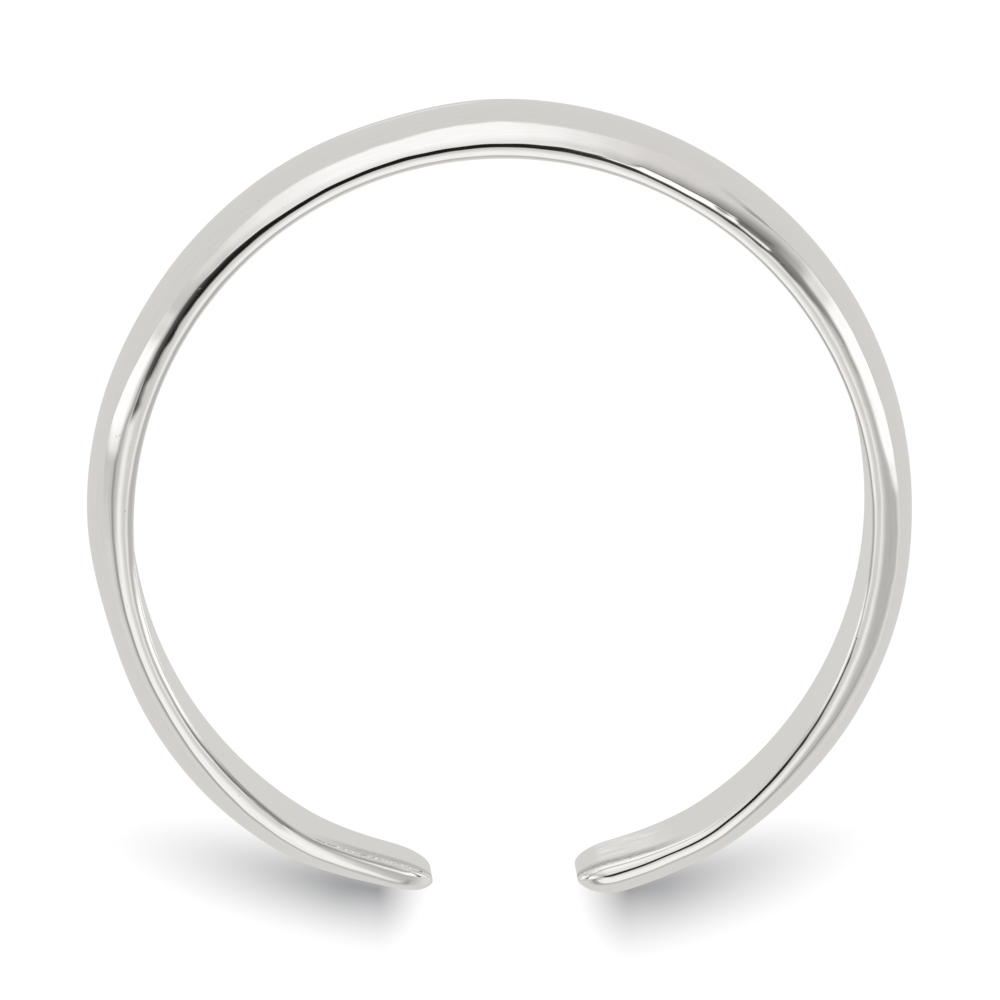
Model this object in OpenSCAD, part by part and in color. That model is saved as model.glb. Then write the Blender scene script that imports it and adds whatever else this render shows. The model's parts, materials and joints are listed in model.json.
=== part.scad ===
// Open toe ring: one polished silver band, flat inside, domed outside, with rounded ends.
// Origin: centre of the bore, mid-width. +Z along the bore, +Y towards the crown, -Y towards the gap.

/* [Band] */
// Inside diameter, where the toe goes
bore_d = 15; // [12:0.25:20]
// Width of the band, along the toe
band_w = 4; // [3:0.25:6]
// Thickness of the wall at the crown, opposite the gap
crown_t = 0.95; // [0.8:0.05:1.5]
// Gap between the two ends, straight across at the bore
gap_w = 2.9; // [2:0.1:6]

/* [Edges] */
// Radius that turns the domed outside into each side
edge_r = 0.38; // [0.2:0.02:0.5]
// Flat left on each side, between the rounded edge and the bevel
side_flat = 0.1; // [0.05:0.01:0.2]
// Bevel between each side and the bore
bore_bevel = 0.11; // [0.05:0.01:0.2]

/* [Ends] */
// Radius of the corners of each end, seen flat from outside
corner_r = 0.9; // [0.3:0.1:1.2]
// Length over which the outside of the left end rounds over
left_nose = 0.35; // [0.2:0.05:1.2]
// Length over which the outside of the right end rounds over
right_nose = 0.9; // [0.2:0.05:1.2]
// Length over which the inside of each end rounds over
inner_nose = 0.8; // [0.4:0.05:1.2]

/* [Hidden] */

bore_r = bore_d / 2;
half_w = band_w / 2;

// How far the swept blank reaches into the bore before the bore is cut
under = 0.15;
// Where in the wall each tip comes to its end, and how much of the wall is left flat there
left_middle = 0.55;
right_middle = 0.3;
tip_flat = 0.15;
// How far the bore's cutter runs past each side
cut_past = 1;

// Wall thickness round the band, as filed by hand: shares of crown_t
// [angle from the crown, share on the left, share on the right]
wall_shares = [
  [  0, 1.00, 1.00],
  [ 15, 0.95, 1.00],
  [ 30, 0.95, 1.01],
  [ 45, 0.94, 1.01],
  [ 60, 0.96, 1.00],
  [ 75, 1.00, 0.97],
  [ 90, 0.97, 0.94],
  [105, 0.88, 0.91],
  [120, 0.89, 0.87],
  [135, 0.88, 0.81],
  [150, 0.79, 0.79],
  [165, 0.53, 0.74],
  [180, 0.32, 0.70]
];
last_row = len(wall_shares) - 1;
row_turn = 180 / last_row;
shares_round = concat(
  [for (i = [last_row : -1 : 1]) wall_shares[i][1]],
  [for (row = wall_shares) row[2]]
);

// Fineness of the sweep: points on half the dome, on each rounded edge and at each nose, degrees a step
dome_steps = 6;
edge_steps = 4;
nose_steps = 8;
turn_step = 4;

// Section of the band at the crown, as [distance out from the bore, distance across the width]
edge_at = bore_bevel + side_flat;
dome_rise = crown_t - edge_at;
edge_round = min(edge_r, 0.9 * dome_rise, 0.9 * half_w);
edge_mid = half_w - edge_round;
dome_r = (edge_mid * edge_mid + dome_rise * dome_rise - edge_round * edge_round)
  / (2 * (dome_rise - edge_round));
dome_turn = asin(edge_mid / (dome_r - edge_round));

dome_points = [
  for (i = [0 : dome_steps])
    let (a = dome_turn * i / dome_steps)
    [crown_t - dome_r + dome_r * cos(a), dome_r * sin(a)]
];
edge_points = [
  for (i = [1 : edge_steps])
    let (a = dome_turn + (90 - dome_turn) * i / edge_steps)
    [edge_at + edge_round * cos(a), edge_mid + edge_round * sin(a)]
];
bore_points = [
  [bore_bevel, half_w],
  [-under, half_w - bore_bevel - under]
];
near_half = concat(dome_points, edge_points, bore_points);
far_half = [
  for (i = [len(near_half) - 1 : -1 : 1])
    [near_half[i][0], -near_half[i][1]]
];
section = concat(near_half, far_half);

// Smooth curve through four values, at u of the way from the second to the third
function curve(p, q, r, s, u) =
  q + u * (r - p) / 2
    + u * u * (2 * p - 5 * q + 4 * r - s) / 2
    + u * u * u * (3 * q - p - 3 * r + s) / 2;

// Share of the crown's wall at an angle from the crown, negative on the left
function share_row(i) = shares_round[max(0, min(2 * last_row, i))];
function wall_share(angle) =
  let (at = last_row + angle / row_turn)
  let (i = floor(at))
  curve(share_row(i - 1), share_row(i), share_row(i + 1), share_row(i + 2), at - i);

// Angles at the bore
tip_angle = 180 - asin(gap_w / 2 / bore_r);
function turn_of(length) = length / bore_r * 180 / PI;
function length_of(turn) = turn * PI / 180 * bore_r;

// Quarter round: 0 at the tip, 1 from its full length on
function round_over(s, length) = s >= length ? 1 : sqrt(1 - pow(1 - max(0, s) / length, 2));

// One station of the sweep: the section at an angle from the crown, thinner and narrower near a tip
function station(angle) =
  let (s = length_of(tip_angle - abs(angle)))
  let (wall = wall_share(angle))
  let (middle = (angle < 0 ? left_middle : right_middle) * wall * crown_t)
  let (outside = tip_flat + (1 - tip_flat) * round_over(s, angle < 0 ? left_nose : right_nose))
  let (inside = tip_flat + (1 - tip_flat) * round_over(s, inner_nose))
  let (across = 1 - corner_r * (1 - round_over(s, corner_r)) / half_w)
  [
    for (p = section)
      let (out = p[0] > 0 ? wall * p[0] : p[0])
      let (r = bore_r + middle + (out - middle) * (out > middle ? outside : inside))
      [r * sin(angle), r * cos(angle), across * p[1]]
  ];

// Angles of the stations: close together on the noses, even between them
function nose_angles(nose) = [
  for (i = [0 : nose_steps])
    tip_angle - turn_of(max(nose, inner_nose, corner_r) * (1 - cos(90 * i / nose_steps)))
];
left_angles = -nose_angles(left_nose);
right_angles = nose_angles(right_nose);
first = left_angles[nose_steps];
turn = right_angles[nose_steps] - first;
turns = ceil(turn / turn_step);
angles = concat(
  left_angles,
  [for (i = [1 : turns - 1]) first + turn * i / turns],
  [for (i = [nose_steps : -1 : 0]) right_angles[i]]
);

// The band before its bore is cut true
module blank() {
  count = len(section);
  rows = len(angles);
  skin = [
    for (i = [0 : rows - 2])
      for (j = [0 : count - 1])
        let (k = (j + 1) % count)
        [i * count + j, (i + 1) * count + j, (i + 1) * count + k, i * count + k]
  ];
  left_face = [for (j = [0 : count - 1]) j];
  right_face = [for (j = [count - 1 : -1 : 0]) (rows - 1) * count + j];
  polyhedron(
    points = [for (angle = angles) each station(angle)],
    faces = concat(skin, [left_face, right_face]),
    convexity = 4
  );
}

module band() {
  color([0.83, 0.82, 0.80])
    difference() {
      blank();
      cylinder(h = band_w + 2 * cut_past, r = bore_r, center = true, $fn = 180);
    }
}

band();
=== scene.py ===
"""A polished silver open toe ring, lying on its side on a pale floor in a light tent."""

import json
import math

import bpy
from mathutils import Matrix, Vector


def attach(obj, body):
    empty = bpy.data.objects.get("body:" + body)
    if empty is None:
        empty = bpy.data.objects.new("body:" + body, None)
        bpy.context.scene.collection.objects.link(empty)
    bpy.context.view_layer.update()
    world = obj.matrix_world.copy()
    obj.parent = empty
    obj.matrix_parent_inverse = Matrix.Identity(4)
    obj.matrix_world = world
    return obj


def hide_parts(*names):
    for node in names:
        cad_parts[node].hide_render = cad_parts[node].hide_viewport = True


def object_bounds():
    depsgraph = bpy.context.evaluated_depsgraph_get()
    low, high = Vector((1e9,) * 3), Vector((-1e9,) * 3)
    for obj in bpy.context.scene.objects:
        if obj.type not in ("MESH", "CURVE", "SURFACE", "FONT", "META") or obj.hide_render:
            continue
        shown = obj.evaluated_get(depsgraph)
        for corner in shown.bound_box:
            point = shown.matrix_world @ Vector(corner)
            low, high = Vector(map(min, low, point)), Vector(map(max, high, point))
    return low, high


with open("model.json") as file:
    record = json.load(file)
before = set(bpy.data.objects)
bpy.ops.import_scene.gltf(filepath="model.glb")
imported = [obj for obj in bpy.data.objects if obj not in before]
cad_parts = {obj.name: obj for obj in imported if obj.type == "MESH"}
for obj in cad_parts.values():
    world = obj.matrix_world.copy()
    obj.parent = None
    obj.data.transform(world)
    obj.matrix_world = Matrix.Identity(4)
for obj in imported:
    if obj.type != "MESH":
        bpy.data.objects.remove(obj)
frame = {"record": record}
cad_low, cad_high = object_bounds()

MM = 0.001

# Sizes of the band, from the frame
TOE_BORE = next(m for m in frame["record"]["mounts"] if m["name"] == "toe_bore")
BORE_R = TOE_BORE["dims"]["r_mm"] * MM
HALF_W = cad_high.z
CROWN_T = cad_high.y - BORE_R
FLOOR_Z = cad_low.z

# Wall round the band as filed by hand: (angle from the crown, share of CROWN_T on the left, on the right)
WALL_SHARES = [
    (0, 1.00, 1.00),
    (15, 0.92, 1.00),
    (30, 0.94, 1.01),
    (45, 0.94, 1.01),
    (60, 0.94, 1.00),
    (75, 0.98, 0.97),
    (90, 0.97, 0.94),
    (105, 0.85, 0.94),
    (120, 0.89, 0.90),
    (135, 0.88, 0.83),
    (150, 0.79, 0.80),
    (165, 0.64, 0.87),
    (180, 0.40, 0.83),
]

# The section round the ring: (angle from the crown, left, right). Each side gives the radii of its edge, side
# and roll in millimetres, the angles where side, roll and corner start, and the corner's radius. Most of these
# values were made by a program that fitted the reflections to the photograph, and the others were set one by
# one
SECTIONS = [
    (0, (0.25, 0.58, 0.18, 81.9, 100.8, 135.6, 0.058), (0.25, 0.58, 0.18, 81.9, 100.8, 135.6, 0.058)),
    (15, (0.21, 0.59, 0.20, 81.3, 100.1, 136.7, 0.055), (0.34, 0.53, 0.17, 79.7, 102.1, 133.5, 0.059)),
    (30, (0.28, 0.53, 0.21, 81.4, 98.3, 134.0, 0.051), (0.38, 0.40, 0.13, 76.3, 101.5, 129.8, 0.056)),
    (45, (0.34, 0.66, 0.21, 79.0, 97.5, 135.0, 0.049), (0.42, 0.64, 0.14, 75.5, 99.5, 128.7, 0.050)),
    (60, (0.40, 0.74, 0.18, 78.2, 96.7, 133.5, 0.050), (0.43, 0.61, 0.15, 74.6, 98.0, 128.4, 0.043)),
    (75, (0.55, 0.66, 0.17, 79.3, 95.9, 136.0, 0.053), (0.40, 0.61, 0.18, 74.5, 97.2, 131.4, 0.039)),
    (90, (0.42, 0.58, 0.19, 80.2, 95.9, 139.8, 0.055), (0.20, 0.72, 0.17, 61.0, 95.6, 131.6, 0.037)),
    (105, (0.37, 0.58, 0.23, 79.8, 96.6, 142.0, 0.053), (0.22, 0.70, 0.15, 58.5, 94.4, 131.0, 0.040)),
    (120, (0.28, 0.60, 0.21, 79.2, 95.4, 135.8, 0.047), (0.40, 0.60, 0.13, 66.0, 95.0, 132.8, 0.045)),
    (135, (0.24, 0.86, 0.15, 77.0, 94.0, 131.0, 0.039), (0.37, 0.52, 0.15, 75.1, 97.0, 137.7, 0.052)),
    (150, (0.21, 0.98, 0.15, 77.2, 93.0, 132.0, 0.160), (0.25, 0.55, 0.22, 75.5, 94.4, 143.0, 0.160)),
    (165, (0.21, 0.98, 0.25, 77.0, 93.0, 146.0, 0.450), (0.21, 0.42, 0.30, 76.2, 94.0, 148.0, 0.400)),
    (180, (0.21, 0.98, 0.25, 77.0, 93.0, 146.0, 0.450), (0.21, 0.42, 0.30, 76.2, 94.0, 148.0, 0.400)),
]
COLUMNS = len(SECTIONS[0][1])
# Unevenness along the band: (waves per turn, share), and its size in each of the columns above
HAND_WAVES = [(13, 0.4), (29, 0.35), (61, 0.25)]
WAVE_SIZES = (0.010, 0.02, 0.008, 0.5, 0.5, 1.5, 0.003)

# Ends of the band. The corners are rounded over CORNER_R along it, and each side narrows there by CORNER_NARROW
GAP_W = 2.9 * MM
CORNER_R = 0.65 * MM
CORNER_NARROW = 0.55 * MM
# How much each side narrows towards the tip, and over what length. The left end's far side narrows by a share
# of that
LEFT_TAPER, LEFT_TAPER_L = 0.85 * MM, 3.3 * MM
RIGHT_TAPER, RIGHT_TAPER_L = 0.2 * MM, 2.4 * MM
TAPER_BEND = 1.5
LEFT_FAR_TAPER = 0.2
# Lengths over which the outside and the bore round over to meet at the tip, how full the bore's rounding is,
# and the share of the wall where they meet
LEFT_NOSE = 0.35 * MM
RIGHT_NOSE = 0.9 * MM
LEFT_INNER_NOSE = 0.95 * MM
RIGHT_INNER_NOSE = 0.8 * MM
INNER_SQUARE = 2.2
LEFT_MIDDLE = 0.55
RIGHT_MIDDLE = 0.3
# How far both ends curl in, and how far their near edge leans in further, between angles from the crown. The
# left edge comes back by a share of its lean at the tip
CURL = 0.13 * MM
CURL_FROM, CURL_TO = 147.0, 166.0
LEAN = 0.05 * MM
LEAN_FROM, LEAN_TO = 145.0, 155.0
LEFT_BACK, LEFT_BACK_FROM, LEFT_BACK_TO = 0.8, 158.0, 165.0

# Silver: its own tone, the darker tone that streaks and nicks lean towards and that shade painted into the
# creases reaches, and its roughness between the marks of its finish
SILVER_TONE = (0.965, 0.955, 0.94)
DULL_AND_SHADE_TONE = (0.30, 0.285, 0.26)
POLISH_ROUGHNESS = 0.05
BUMP_DEPTH = 0.0028 * MM
# Streaks of the polish: how fine, how long, where the noise shows as one, and how each changes the surface
STREAKS_PER_MM = 28
STREAK_STRETCH = 0.04
STREAK_FROM, STREAK_TO = 0.42, 0.66
STREAK_DULLS, STREAK_ROUGHENS, STREAK_HEIGHT = 0.06, 0.04, 0.01
# Waves and nicks of handwork, in the same way
WAVES_PER_MM = 2.2
NICKS_PER_MM = 8
NICK_FROM, NICK_TO = 0.745, 0.80
NICK_DULLS, NICK_ROUGHENS, NICK_HEIGHT = 0.15, 0.15, -0.15
# Shade painted darker into the creases beside the near corner of the bore, for the left and the right end:
# where it begins and is full, in degrees from the crown, and how many of the bore's steps in it is deepest and
# ends
CREASE_SHADES = ((148.0, 157.0, 3.0, 7.0), (149.0, 157.0, 1.0, 5.0))
CREASE_SHADE_DEPTH = 0.92
# Chips of that corner, for the left and the right end: where they begin and are full, and how many of the
# section's steps from the bore's edge they are full and end
CHIPS = ((146.0, 153.0), (155.0, 162.0))
CHIPS_FULL, CHIPS_END = 1, 3
CHIPS_PER_MM = 11.0
CHIP_HEIGHT = 38.0

# Fineness of the mesh
STATIONS = 720
NOSE_STATIONS = 24
DOME_STEPS = 12
EDGE_STEPS = 12
SIDE_STEPS = 6
ROLL_STEPS = 8
CORNER_STEPS = 5
BORE_STEPS = 10
# Steps from the ridge of the dome to where the corner starts, and to where the bore starts
CORNER_AT = DOME_STEPS + EDGE_STEPS + SIDE_STEPS + ROLL_STEPS
BORE_AT = CORNER_AT + CORNER_STEPS

# How the photograph's camera stands to the ring: a long lens a little above the bore's axis
CAMERA_UP = math.radians(8.0)
CAMERA_LEFT = math.radians(1.55)
CAMERA_ROLL = math.radians(0.63)
FRAME_PX = 1000
PX_PER_MM = 49.07
LENS_PX = 30000
BORE_AT_PX = (500.3, 511.7)
SENSOR = 36.0
NEAREST, FURTHEST = 0.01, 10

# Soft shadows painted on the floor under the left and the right end: strength, middle, and reach to the left,
# right, down and up
SHADOW_POOLS = [
    (0.78, (-2.553 * MM, -8.06 * MM), (6.1 * MM, 1.1 * MM, 1.45 * MM, 1.15 * MM)),
    (0.75, (2.602 * MM, -8.15 * MM), (1.2 * MM, 5.4 * MM, 1.62 * MM, 1.15 * MM)),
]
# How fast they rise to both sides of their middle, how they fade out, their share left in the middle and how
# wide that is, their tint, and the distance from the bore's axis over which they begin
POOL_RISE = 0.2
POOL_FADE = 1.5
POOL_EASE, POOL_EASE_W = 0.88, 0.9 * MM
POOL_TINT = (0.0, 0.005, 0.02)
POOL_INSIDE = (7.65 * MM, 7.85 * MM)
FLOOR_HALF = 1.5
FLOOR_TONE = 0.05
FLOOR_ROUGHNESS = 0.6
FLOOR_GLOW = 0.95

# Lamp over the floor
LAMP_SIZE = 0.35
LAMP_POWER = 2.2
LAMP_PLACE = (0.0, 0.22, 0.5)

# Tint of the tent's walls, and the light over which it fades to white
WALL_TINT = (1.0, 0.98, 0.955)
TINT_FROM, TINT_TO = 0.70, 0.98


def curve(p, q, r, s, u):
    """Smooth curve through four values, at u of the way from the second to the third."""
    first = u * (r - p) / 2
    second = u * u * (2 * p - 5 * q + 4 * r - s) / 2
    third = u * u * u * (3 * q - p - 3 * r + s) / 2
    return q + first + second + third


def share_round(rows, angle):
    """Value at an angle from the crown, negative on the left, from rows of (angle, left, right)."""
    turn = rows[1][0] - rows[0][0]
    left = [row[1] for row in reversed(rows)]
    right = [row[2] for row in rows[1:]]
    values = left + right
    at = len(rows) - 1 + angle / turn
    i = math.floor(at)
    near = [values[max(0, min(len(values) - 1, i + k))] for k in (-1, 0, 1, 2)]
    return curve(*near, at - i)


def round_over(s, length, square=2.0):
    """Quarter round: 0 at the tip, 1 from its full length on. Its corner is fuller where square is over 2."""
    if s >= length:
        return 1.0
    return (1 - (1 - max(0.0, s) / length) ** square) ** (1 / square)


def arc(centre, radius, start, end, steps):
    """Points along an arc as (out, across), without its first. Angles turn from out towards across."""
    points = []
    for i in range(1, steps + 1):
        a = start + (end - start) * i / steps
        points.append((centre[0] + radius * math.cos(a), centre[1] + radius * math.sin(a)))
    return points


def line(start, end, steps):
    """Points along a straight line, without its first."""
    return [
        tuple(p + (q - p) * i / steps for p, q in zip(start, end))
        for i in range(1, steps + 1)
    ]


def stepped(centre, radius, next_radius, turn):
    """Centre of the next arc of a chain, which starts where this one ends, at that turn."""
    return (
        centre[0] + (radius - next_radius) * math.cos(turn),
        centre[1] + (radius - next_radius) * math.sin(turn),
    )


def half_section(edge, side, roll, side_from, roll_from, corner_from, corner):
    """From the ridge of the dome to the middle of the bore, as (out, across the width) in millimetres."""
    wall = CROWN_T / MM
    half = HALF_W / MM
    side_from, roll_from, corner_from = (math.radians(a) for a in (side_from, roll_from, corner_from))
    side_at = (0.0, half - side)
    roll_at = stepped(side_at, side, roll, roll_from)
    corner_at = stepped(roll_at, roll, corner, corner_from)
    up = corner - corner_at[0]
    side_at, roll_at, corner_at = ((c[0] + up, c[1]) for c in (side_at, roll_at, corner_at))
    edge_at = stepped(side_at, side, edge, side_from)
    rise = wall - edge_at[0]
    dome = (edge_at[1] ** 2 + rise**2 - edge**2) / (2 * (rise - edge))
    dome_to = math.asin(edge_at[1] / (dome - edge))

    points = [(wall, 0.0)]
    points += arc((wall - dome, 0.0), dome, 0.0, dome_to, DOME_STEPS)
    points += arc(edge_at, edge, dome_to, side_from, EDGE_STEPS)
    points += arc(side_at, side, side_from, roll_from, SIDE_STEPS)
    points += arc(roll_at, roll, roll_from, corner_from, ROLL_STEPS)
    points += arc(corner_at, corner, corner_from, math.radians(180), CORNER_STEPS)
    points += line(points[-1], (0.0, 0.0), BORE_STEPS)
    return points


def hand_wave(angle, phase):
    """Small unevenness of the hand polish along the band, between -1 and 1."""
    return sum(
        share * math.sin(math.radians(waves * angle) + phase * waves)
        for waves, share in HAND_WAVES
    )


def whole_section(angle):
    """The closed section at an angle from the crown, once round, in metres."""
    sizes = []
    for k in range(COLUMNS):
        size = share_round([(a, left[k], right[k]) for a, left, right in SECTIONS], angle)
        sizes.append(size + WAVE_SIZES[k] * hand_wave(angle, k))
    near = [(out * MM, across * MM) for out, across in half_section(*sizes)]
    far = [(out, -across) for out, across in reversed(near[1:-1])]
    return near + far


def smooth_step(value, start, end):
    t = min(1.0, max(0.0, (value - start) / (end - start)))
    return t * t * (3 - 2 * t)


TIP_ANGLE = 180 - math.degrees(math.asin(GAP_W / 2 / BORE_R))


def turn_of(length):
    return math.degrees(length / BORE_R)


def length_of(turn):
    return math.radians(turn) * BORE_R


def station(angle):
    """The section at an angle from the crown, thinner and narrower near a tip."""
    s = length_of(TIP_ANGLE - abs(angle))
    share = share_round(WALL_SHARES, angle)
    middle = (LEFT_MIDDLE if angle < 0 else RIGHT_MIDDLE) * share * CROWN_T
    outside = round_over(s, LEFT_NOSE if angle < 0 else RIGHT_NOSE)
    inside = round_over(s, LEFT_INNER_NOSE if angle < 0 else RIGHT_INNER_NOSE, INNER_SQUARE)
    depth, length = (LEFT_TAPER, LEFT_TAPER_L) if angle < 0 else (RIGHT_TAPER, RIGHT_TAPER_L)
    corner = CORNER_NARROW * (1 - round_over(s, CORNER_R))
    taper = depth * max(0.0, 1 - s / length) ** TAPER_BEND
    narrow = 1 - (corner + taper) / HALF_W
    narrow_far = 1 - (corner + taper * (LEFT_FAR_TAPER if angle < 0 else 1)) / HALF_W
    lean = LEAN * smooth_step(abs(angle), LEAN_FROM, LEAN_TO)
    if angle < 0:
        lean *= 1 - LEFT_BACK * smooth_step(-angle, LEFT_BACK_FROM, LEFT_BACK_TO)
    curl = CURL * smooth_step(abs(angle), CURL_FROM, CURL_TO)
    a = math.radians(angle)
    points = []
    for out, across in whole_section(angle):
        out *= share
        rounding = outside if out > middle else inside
        inner = BORE_R - curl - lean * (1 + across / HALF_W) / 2
        r = inner + middle + (out - middle) * rounding
        side = narrow if across > 0 else narrow_far
        points.append((r * math.sin(a), r * math.cos(a), across * side))
    return points


def station_angles():
    """Even between the noses, close together on them."""
    nose = turn_of(max(RIGHT_NOSE, LEFT_INNER_NOSE, CORNER_R))
    start = TIP_ANGLE - nose
    close = [
        TIP_ANGLE - nose * (1 - math.cos(math.radians(90 * i / NOSE_STATIONS)))
        for i in range(1, NOSE_STATIONS + 1)
    ]
    even = [-start + 2 * start * i / STATIONS for i in range(1, STATIONS)]
    return [-a for a in close] + even + list(reversed(close))


def mesh_object(name, points, faces):
    mesh = bpy.data.meshes.new(name)
    mesh.from_pydata(points, [], faces)
    mesh.validate()
    mesh.shade_smooth()
    made = bpy.data.objects.new(name, mesh)
    bpy.context.scene.collection.objects.link(made)
    return made


def crease_shade_at(angle, j, count):
    """How much painted shade darkens the metal at point j of a section's count, in the near side's crease at an
    end.
    """
    if j > count / 2:
        return 0.0
    begin, full, deepest, reach = CREASE_SHADES[0 if angle < 0 else 1]
    rise = smooth_step(j, CORNER_AT + deepest, BORE_AT + deepest)
    fall = 1 - smooth_step(j, BORE_AT + deepest, BORE_AT + reach)
    return CREASE_SHADE_DEPTH * (rise * fall) * smooth_step(abs(angle), begin, full)


def chips_at(angle, j, count):
    """How chipped the metal is at point j of a section's count, at the near side's corner at an end."""
    if j > count / 2:
        return 0.0
    begin, full = CHIPS[0 if angle < 0 else 1]
    near_corner = 1 - smooth_step(abs(j - BORE_AT), CHIPS_FULL, CHIPS_END)
    return near_corner * smooth_step(abs(angle), begin, full)


def build_band():
    """The band as one closed mesh, with its lengths as UVs, and its painted crease shade and its chips as point
    values.
    """
    angles = station_angles()
    rows = [station(angle) for angle in angles]
    count = len(rows[0])
    points = [p for row in rows for p in row]
    middle = rows[len(rows) // 2]
    steps = [math.dist(middle[j], middle[(j + 1) % count]) for j in range(count)]
    across = [sum(steps[:j]) / MM for j in range(count + 1)]
    along = [length_of(angle) / MM for angle in angles]
    faces, places = [], []
    for i in range(len(rows) - 1):
        for j in range(count):
            k = (j + 1) % count
            faces.append((i * count + j, i * count + k, (i + 1) * count + k, (i + 1) * count + j))
            places += [(along[i], across[j]), (along[i], across[j + 1])]
            places += [(along[i + 1], across[j + 1]), (along[i + 1], across[j])]
    for i, row, order in ((0, rows[0], 1), (len(rows) - 1, rows[-1], -1)):
        points.append(tuple(sum(p[k] for p in row) / count for k in range(3)))
        tip = len(points) - 1
        for j in range(count):
            k = (j + 1) % count
            face = (i * count + j, tip, i * count + k)
            spots = [(along[i], across[j]), (along[i], across[j]), (along[i], across[j + 1])]
            faces.append(face if order > 0 else face[::-1])
            places += spots if order > 0 else spots[::-1]
    made = mesh_object("polished_band", points, faces)
    flat = made.data.uv_layers.new(name="along_across").data
    for loop, place in zip(flat, places):
        loop.uv = place
    for name, amount_at in (("crease", crease_shade_at), ("chips", chips_at)):
        amounts = made.data.attributes.new(name, "FLOAT", "POINT").data
        for i, angle in enumerate(angles):
            for j in range(count):
                amounts[i * count + j].value = amount_at(angle, j, count)
    return made


class Shading:
    """Short way to add math nodes to one node tree."""

    def __init__(self, tree):
        self.tree = tree

    def put(self, socket, value):
        if isinstance(value, bpy.types.NodeSocket):
            self.tree.links.new(value, socket)
        else:
            socket.default_value = value

    def math(self, operation, *values, clamp=False):
        node = self.tree.nodes.new("ShaderNodeMath")
        node.operation = operation
        node.use_clamp = clamp
        for socket, value in zip(node.inputs, values):
            self.put(socket, value)
        return node.outputs[0]

    def ramp(self, value, start, end, low=0.0, high=1.0):
        """From low to high, smoothly, as the value goes from start to end."""
        node = self.tree.nodes.new("ShaderNodeMapRange")
        node.interpolation_type = "SMOOTHSTEP"
        for socket, given in zip(node.inputs, (value, start, end, low, high)):
            self.put(socket, given)
        return node.outputs[0]

    def noise(self, place, scale, detail):
        node = self.tree.nodes.new("ShaderNodeTexNoise")
        self.put(node.inputs["Vector"], place)
        self.put(node.inputs["Scale"], scale)
        node.inputs["Detail"].default_value = detail
        return node.outputs["Fac"]

    def band(self, value, middle, half, soft):
        """1 within half of the middle, falling to 0 over soft beyond it."""
        away = self.math("ABSOLUTE", self.math("SUBTRACT", value, middle))
        return self.ramp(away, half, half + soft, 1.0, 0.0)

    def both(self, *masks):
        made = masks[0]
        for mask in masks[1:]:
            made = self.math("MULTIPLY", made, mask)
        return made

    def cover(self, under, light, mask):
        """The light under, with another over it where the mask is 1."""
        node = self.tree.nodes.new("ShaderNodeMix")
        self.put(node.inputs["Factor"], mask)
        self.put(node.inputs["A"], under)
        self.put(node.inputs["B"], light)
        return node.outputs["Result"]


def node_group(name, inputs, outputs):
    """New group of shader nodes: the group, its math helper, and the sockets of its inputs and outputs."""
    group = bpy.data.node_groups.new(name, "ShaderNodeTree")
    for way, sockets in (("INPUT", inputs), ("OUTPUT", outputs)):
        for label, kind in sockets:
            group.interface.new_socket(label, in_out=way, socket_type=kind)
    start = group.nodes.new("NodeGroupInput")
    end = group.nodes.new("NodeGroupOutput")
    return group, Shading(group), start.outputs, end.inputs


def streaks_group():
    """Fine lines left by polishing along the band."""
    group, s, given, made = node_group(
        "polish_streaks",
        [("Along and Across", "NodeSocketVector"), ("Streaks per mm", "NodeSocketFloat")],
        [("Streak", "NodeSocketFloat")],
    )
    stretch = group.nodes.new("ShaderNodeVectorMath")
    stretch.operation = "MULTIPLY"
    s.put(stretch.inputs[0], given["Along and Across"])
    stretch.inputs[1].default_value = (STREAK_STRETCH, 1.0, 1.0)
    grain = s.noise(stretch.outputs[0], given["Streaks per mm"], 3)
    s.put(made["Streak"], s.ramp(grain, STREAK_FROM, STREAK_TO))
    return group


def wear_group():
    """Gentle waves and sparse small nicks of a hand-finished surface."""
    group, s, given, made = node_group(
        "hand_wear",
        [
            ("Place", "NodeSocketVector"),
            ("Waves per mm", "NodeSocketFloat"),
            ("Nicks per mm", "NodeSocketFloat"),
        ],
        [("Wave", "NodeSocketFloat"), ("Nick", "NodeSocketFloat")],
    )
    s.put(made["Wave"], s.noise(given["Place"], given["Waves per mm"], 0))
    spots = s.noise(given["Place"], given["Nicks per mm"], 1)
    s.put(made["Nick"], s.ramp(spots, NICK_FROM, NICK_TO))
    return group


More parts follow.
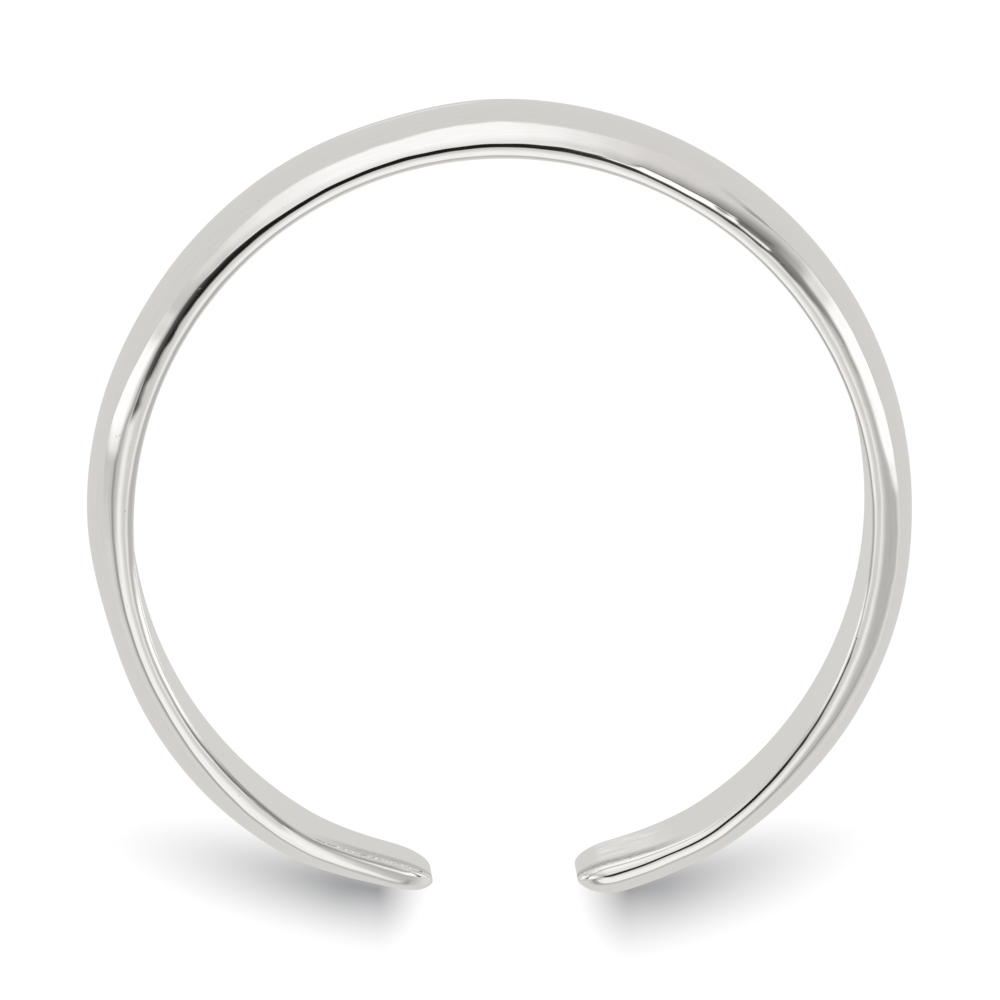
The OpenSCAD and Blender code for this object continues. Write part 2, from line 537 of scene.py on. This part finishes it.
def silver():
    """Polished silver with fine streaks, gentle waves, small nicks, chipped corners at the ends, and painted
    shade in the creases there.
    """
    material = bpy.data.materials.new("polished_silver")
    material.use_nodes = True
    tree = material.node_tree
    shader = tree.nodes["Principled BSDF"]
    shader.inputs["Metallic"].default_value = 1.0
    s = Shading(tree)

    place = tree.nodes.new("ShaderNodeTexCoord")
    in_mm = tree.nodes.new("ShaderNodeVectorMath")
    in_mm.operation = "SCALE"
    in_mm.inputs["Scale"].default_value = 1 / MM
    tree.links.new(place.outputs["Object"], in_mm.inputs[0])

    streaks = tree.nodes.new("ShaderNodeGroup")
    streaks.node_tree = streaks_group()
    streaks.inputs["Streaks per mm"].default_value = STREAKS_PER_MM
    tree.links.new(place.outputs["UV"], streaks.inputs["Along and Across"])
    wear = tree.nodes.new("ShaderNodeGroup")
    wear.node_tree = wear_group()
    wear.inputs["Waves per mm"].default_value = WAVES_PER_MM
    wear.inputs["Nicks per mm"].default_value = NICKS_PER_MM
    tree.links.new(in_mm.outputs[0], wear.inputs["Place"])
    crease = tree.nodes.new("ShaderNodeAttribute")
    crease.attribute_name = "crease"
    chips = tree.nodes.new("ShaderNodeAttribute")
    chips.attribute_name = "chips"
    chip = s.math("MULTIPLY", s.noise(in_mm.outputs[0], CHIPS_PER_MM, 0), chips.outputs["Fac"])

    streak, nick = streaks.outputs["Streak"], wear.outputs["Nick"]
    dull_and_shade = s.math("MULTIPLY_ADD", streak, STREAK_DULLS, s.math("MULTIPLY", nick, NICK_DULLS))
    # Shade painted into the creases at the ends darkens the silver's tone further
    dull_and_shade = s.math("MAXIMUM", dull_and_shade, crease.outputs["Fac"])
    tone = tree.nodes.new("ShaderNodeMix")
    tone.data_type = "RGBA"
    tone.inputs["A"].default_value = (*SILVER_TONE, 1)
    tone.inputs["B"].default_value = (*DULL_AND_SHADE_TONE, 1)
    tree.links.new(dull_and_shade, tone.inputs["Factor"])
    tree.links.new(tone.outputs["Result"], shader.inputs["Base Color"])
    rough = s.math("MULTIPLY_ADD", nick, NICK_ROUGHENS, POLISH_ROUGHNESS)
    rough = s.math("MULTIPLY_ADD", streak, STREAK_ROUGHENS, rough)
    tree.links.new(rough, shader.inputs["Roughness"])

    bump = tree.nodes.new("ShaderNodeBump")
    bump.inputs["Distance"].default_value = BUMP_DEPTH
    height = s.math("MULTIPLY_ADD", nick, NICK_HEIGHT, wear.outputs["Wave"])
    height = s.math("MULTIPLY_ADD", streak, STREAK_HEIGHT, height)
    height = s.math("MULTIPLY_ADD", chip, CHIP_HEIGHT, height)
    tree.links.new(height, bump.inputs["Height"])
    tree.links.new(bump.outputs["Normal"], shader.inputs["Normal"])
    return material


def camera():
    """Stands where the photograph's camera stood to the ring."""
    roll = Matrix.Rotation(-CAMERA_ROLL, 3, "Z")
    back = Vector(
        (
            -math.sin(CAMERA_LEFT) * math.cos(CAMERA_UP),
            math.sin(CAMERA_UP),
            math.cos(CAMERA_LEFT) * math.cos(CAMERA_UP),
        )
    )
    right = Vector((math.cos(CAMERA_LEFT), 0, math.sin(CAMERA_LEFT)))
    up = back.cross(right)
    back, right, up = (roll @ v for v in (back, right, up))
    px = MM / PX_PER_MM
    centre = FRAME_PX / 2
    aim = right * (centre - BORE_AT_PX[0]) * px + up * (BORE_AT_PX[1] - centre) * px
    data = bpy.data.cameras.new("camera")
    data.sensor_width = SENSOR
    data.lens = SENSOR * LENS_PX / FRAME_PX
    data.clip_start, data.clip_end = NEAREST, FURTHEST
    made = bpy.data.objects.new("camera", data)
    made.matrix_world = Matrix.Translation(aim + back * LENS_PX * px) @ Matrix(
        (right, up, back)
    ).transposed().to_4x4()
    bpy.context.scene.collection.objects.link(made)
    bpy.context.scene.camera = made


def painted_shadow_pool(s, x, y, strength, middle, reach):
    """Painted soft shadow round a middle, as far as its reach to the left, right, down and up, all in metres.

    It is a little paler at its very middle, so that it has no sharp point there.
    """
    left, right, down, up = reach
    aside = s.math("SUBTRACT", x, middle[0])
    rise = s.math("MULTIPLY", s.math("ABSOLUTE", aside), POOL_RISE)
    above = s.math("SUBTRACT", s.math("SUBTRACT", y, middle[1]), rise)
    ease = s.ramp(s.math("ABSOLUTE", aside), 0, POOL_EASE_W, POOL_EASE, 1.0)
    aside = s.math("MAXIMUM", s.math("DIVIDE", aside, right), s.math("DIVIDE", aside, -left))
    above = s.math("MAXIMUM", s.math("DIVIDE", above, up), s.math("DIVIDE", above, -down))
    away = s.math("SQRT", s.math("ADD", s.math("POWER", aside, 2), s.math("POWER", above, 2)))
    depth = s.math("POWER", s.math("SUBTRACT", 1, away, clamp=True), POOL_FADE)
    return s.math("MULTIPLY", depth, s.math("MULTIPLY", ease, strength))


def floor():
    """Pale floor that glows evenly, with soft shadows painted darker under the two ends."""
    corners = ((-1, -1), (1, -1), (1, 1), (-1, 1))
    points = [(x * FLOOR_HALF, y * FLOOR_HALF, FLOOR_Z) for x, y in corners]
    made = mesh_object("floor", points, [(0, 1, 2, 3)])
    material = bpy.data.materials.new("pale_floor")
    material.use_nodes = True
    tree = material.node_tree
    s = Shading(tree)
    place = tree.nodes.new("ShaderNodeTexCoord")
    split = tree.nodes.new("ShaderNodeSeparateXYZ")
    tree.links.new(place.outputs["Object"], split.inputs[0])
    x, y, _ = split.outputs
    # Painted shadows under the two ends darken both the floor's colour and its glow
    shade = s.math("MAXIMUM", *(painted_shadow_pool(s, x, y, *given) for given in SHADOW_POOLS))
    out = s.math("SQRT", s.math("ADD", s.math("POWER", x, 2), s.math("POWER", y, 2)))
    shade = s.math("MULTIPLY", shade, s.ramp(out, *POOL_INSIDE))
    shader = tree.nodes["Principled BSDF"]
    for name, colour in (("Base Color", (FLOOR_TONE,) * 3), ("Emission Color", (1.0, 1.0, 1.0))):
        mix = tree.nodes.new("ShaderNodeMix")
        mix.data_type = "RGBA"
        mix.inputs["A"].default_value = (*colour, 1)
        mix.inputs["B"].default_value = (*(c * k for c, k in zip(colour, POOL_TINT)), 1)
        tree.links.new(shade, mix.inputs["Factor"])
        tree.links.new(mix.outputs["Result"], shader.inputs[name])
    shader.inputs["Roughness"].default_value = FLOOR_ROUGHNESS
    shader.inputs["Emission Strength"].default_value = FLOOR_GLOW
    made.data.materials.append(material)
    made.visible_glossy = False


class Way:
    """A direction in the tent, measured in the ways that its parts are laid out by.

    steep is its angle from straight up, turn its angle round that from the right, and round_from_gap the same
    from the side of the ring's gap, all in degrees. across and along are its place on the front wall, in shares
    of the wall's distance.
    """

    def __init__(self, s, x, y, z):
        self.y = y
        self.steep = s.math("DEGREES", s.math("ARCCOSINE", z))
        self.turn = s.math("DEGREES", s.math("ARCTAN2", y, x))
        self.round_from_gap = s.math("DEGREES", s.math("ARCTAN2", x, s.math("MULTIPLY", y, -1)))
        ahead = s.math("MAXIMUM", z, 0.02)
        self.across = s.math("DIVIDE", x, ahead)
        self.along = s.math("DIVIDE", y, ahead)
        self.in_front = s.ramp(z, 0.02, 0.2)


def front_wall(s, way):
    """Front wall, brightest near the camera, duller on the right and further out, with a bright lower part."""
    steep, turn = way.steep, way.turn
    near, right, further, low_middle, low = 0.88, 0.66, 0.53, 0.66, 0.93
    on_right = s.both(s.ramp(way.across, 0.08, 0.36), s.ramp(way.along, -0.25, -0.1))
    light = s.cover(near, right, on_right)
    light = s.cover(light, further, s.ramp(steep, 23, 48))
    shade = s.ramp(steep, 30, 130, 0.20, 0.66)
    light = s.cover(light, shade, s.both(s.band(turn, 30, 20, 22), s.ramp(steep, 24, 34)))
    below = s.both(s.ramp(way.round_from_gap, -85, -65), s.ramp(way.round_from_gap, 45, 31))
    below = s.both(below, s.ramp(steep, 56, 46))
    return s.cover(light, s.ramp(steep, 7, 24, low_middle, low), below)


def other_walls(s, way, light):
    """The rest of the walls, the table on the side of the gap, and the dark joint between wall and table."""
    walls, table, joint_middle, joint_side = 0.60, 0.70, 0.52, 0.33
    aside = s.math("ABSOLUTE", s.math("SUBTRACT", way.turn, 30))
    light = s.cover(light, walls, s.both(s.ramp(way.steep, 60, 90), s.ramp(aside, 20, 42)))
    light = s.cover(light, table, s.both(s.ramp(way.y, -0.04, -0.25), s.ramp(way.steep, 75, 95)))
    # The joint runs up to the slit on the left
    lower = s.both(s.ramp(way.round_from_gap, -114, -98), s.ramp(way.round_from_gap, 90, 78))
    joint_at = s.ramp(way.round_from_gap, -112, -84, 30, 63)
    tone = s.ramp(s.math("ABSOLUTE", way.round_from_gap), 12, 58, joint_middle, joint_side)
    on_joint = s.band(s.math("SUBTRACT", way.steep, joint_at), 0, 1.5, 10)
    return s.cover(light, tone, s.both(lower, on_joint))


def side_walls(s, way, light):
    """Dark corner on the right, the crown's side, and bright walls on both sides with a gap over the right."""
    steep, turn, round_from_gap = way.steep, way.turn, way.round_from_gap
    right_side, left_side, gap = 1.05, 1.07, 0.33
    corner = s.both(s.ramp(round_from_gap, 42, 66), s.ramp(round_from_gap, 104, 94), s.ramp(steep, 12, 30))
    light = s.cover(light, s.ramp(steep, 60, 110, 0.49, 0.74), corner)
    # The crown's side is brighter towards the back
    light = s.cover(light, s.ramp(steep, 0, 110, 0.80, 1.0), s.band(turn, 102, 10, 48))
    # Shade over the slit on the left
    over_slit = s.both(s.band(turn, 158, 6, 8), s.ramp(steep, 12, 16))
    light = s.cover(light, s.ramp(steep, 12, 62, 0.06, 0.60), over_slit)
    on_right = s.both(s.ramp(turn, -7, 3), s.ramp(turn, 39, 19), s.ramp(steep, 28, 56))
    light = s.cover(light, right_side, on_right)
    on_left = s.both(s.ramp(turn, 151, 161), s.ramp(turn, 181, 171), s.ramp(steep, 38, 76))
    light = s.cover(light, left_side, on_left)
    over_right = s.both(s.band(turn, 27, 17, 8), s.band(steep, 128.5, 1, 2.5))
    return s.cover(light, gap, over_right)


def slit_and_cards(s, way, light):
    """The dark slit that the camera looks in by, bent up on both sides, and the cards that stand in it."""
    steep, turn, across = way.steep, way.turn, way.across
    dark_card, long_card, small_card = 0.16, 1.07, 0.88
    left_bend = s.math("MULTIPLY", s.math("MAXIMUM", s.math("MULTIPLY", across, -1), 0), 0.19)
    right_bend = s.math("MULTIPLY", s.math("MAXIMUM", across, 0), 0.38)
    bent = s.math("ADD", s.math("ADD", left_bend, right_bend), 0.09)
    slit = s.both(
        way.in_front,
        s.band(s.math("SUBTRACT", way.along, bent), 0, 0.14, 0.06),
        s.band(across, -0.08, 0.54, 0.14),
    )
    to_right = s.ramp(across, 0.0, 0.45, 0.01, 0.22)
    to_left = s.ramp(across, -0.15, -0.6, 0.01, 0.10)
    light = s.cover(light, s.math("MAXIMUM", to_right, to_left), slit)
    light = s.cover(light, dark_card, s.both(s.band(turn, 49, 10, 3), s.band(steep, 31, 13, 4)))
    start = s.ramp(steep, 2, 36, 22, 45)
    past_start = s.ramp(s.math("SUBTRACT", turn, start), 0, 3)
    on_long = s.both(past_start, s.ramp(turn, 60, 57), s.band(steep, 27.5, 11.5, 3))
    light = s.cover(light, long_card, on_long)
    slant = s.math("SUBTRACT", turn, s.math("MULTIPLY", steep, 1.3))
    on_small = s.both(s.band(slant, 4.6, 2.8, 2.5), s.band(steep, 17.5, 3, 2.5))
    return s.cover(light, small_card, on_small)


def back_wall(s, way, light):
    """Back wall, brighter straight behind the ring on the side of the right end."""
    wall, bright_part = 0.67, 0.84
    light = s.cover(light, wall, s.ramp(way.steep, 130.6, 133))
    behind = s.both(s.band(way.turn, 105, 10, 11), s.band(way.steep, 171.2, 0.9, 0.9))
    return s.cover(light, bright_part, behind)


def tent_light(s, x, y, z):
    """How bright the tent is in a direction: each part covers what is there before it.

    Its layout and tones are a guess. Several came from the fit that made most of SECTIONS, and the rest were
    set one by one against the photograph.
    """
    way = Way(s, x, y, z)
    light = front_wall(s, way)
    light = other_walls(s, way, light)
    light = side_walls(s, way, light)
    light = slit_and_cards(s, way, light)
    return back_wall(s, way, light)


def tent():
    """A light tent round the ring, with a dark slit where the camera looks in, as the silver mirrors it."""
    made = bpy.data.worlds.new("light_tent")
    made.use_nodes = True
    tree = made.node_tree
    s = Shading(tree)
    way = tree.nodes.new("ShaderNodeTexCoord")
    split = tree.nodes.new("ShaderNodeSeparateXYZ")
    tree.links.new(way.outputs["Generated"], split.inputs[0])
    x, y, z = split.outputs
    light = tent_light(s, x, y, z)
    tint = tree.nodes.new("ShaderNodeMix")
    tint.data_type = "RGBA"
    tint.inputs["A"].default_value = (*WALL_TINT, 1)
    tint.inputs["B"].default_value = (1.0, 1.0, 1.0, 1)
    tree.links.new(s.ramp(light, TINT_FROM, TINT_TO), tint.inputs["Factor"])
    tree.links.new(tint.outputs["Result"], tree.nodes["Background"].inputs["Color"])
    tree.links.new(light, tree.nodes["Background"].inputs["Strength"])
    bpy.context.scene.world = made


def lamp():
    """Soft light on the floor from the crown's side. The silver mirrors the tent alone."""
    data = bpy.data.lights.new("floor_light", "AREA")
    data.shape = "SQUARE"
    data.size = LAMP_SIZE
    data.energy = LAMP_POWER
    made = bpy.data.objects.new("floor_light", data)
    place = Vector(LAMP_PLACE)
    made.matrix_world = Matrix.Translation(place) @ place.to_track_quat("Z", "Y").to_matrix().to_4x4()
    made.visible_glossy = False
    bpy.context.scene.collection.objects.link(made)


camera()
tent()
lamp()
floor()
band = build_band()
band.data.materials.append(silver())
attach(band, "root")
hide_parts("band")
bpy.context.scene.view_settings.view_transform = "Standard"
